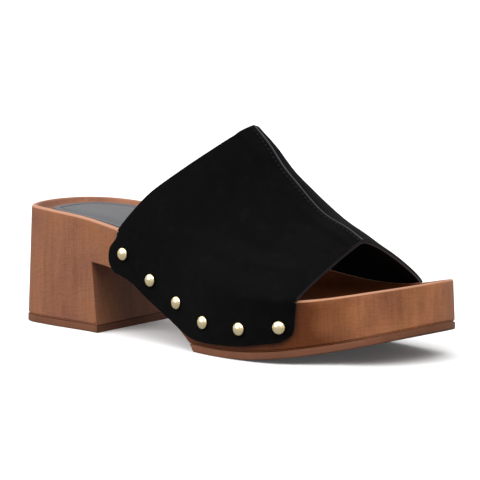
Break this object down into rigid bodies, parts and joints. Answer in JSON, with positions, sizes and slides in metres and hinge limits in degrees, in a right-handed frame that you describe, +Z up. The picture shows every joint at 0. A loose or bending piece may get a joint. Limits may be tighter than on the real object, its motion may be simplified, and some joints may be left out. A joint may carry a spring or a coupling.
{
  "type": "block heel clog mule",
  "caption": "Right-foot slip-on clog mule with a one-piece wooden platform sole and block heel, and a wide two-panel suede upper nailed to its sides.",
  "frame": {"origin": "on the floor, under the middle of the whole shoe's box", "axes": "+X towards the toe, +Z up, +Y towards the inner side of the foot"},
  "size_m": [0.2452, 0.1004, 0.1046],
  "materials": {
    "wood": "satin brown stain with faint upright grain",
    "suede": "black suede with a soft nap",
    "tread": "matte brown rubber",
    "sock": "smooth dark padded leather with a pressed line",
    "nail": "polished pale brass"
  },
  "bodies": {
    "root": {"wood_sole": "wood", "upper": "suede", "outsole": "tread", "heel_lift": "tread", "heel_sock": "sock", "lateral_nail_1": "nail", "lateral_nail_2": "nail", "lateral_nail_3": "nail", "lateral_nail_4": "nail", "lateral_nail_5": "nail", "lateral_nail_6": "nail", "medial_nail_1": "nail", "medial_nail_2": "nail", "medial_nail_3": "nail", "medial_nail_4": "nail", "medial_nail_5": "nail", "medial_nail_6": "nail"}
  },
  "joints": []
}
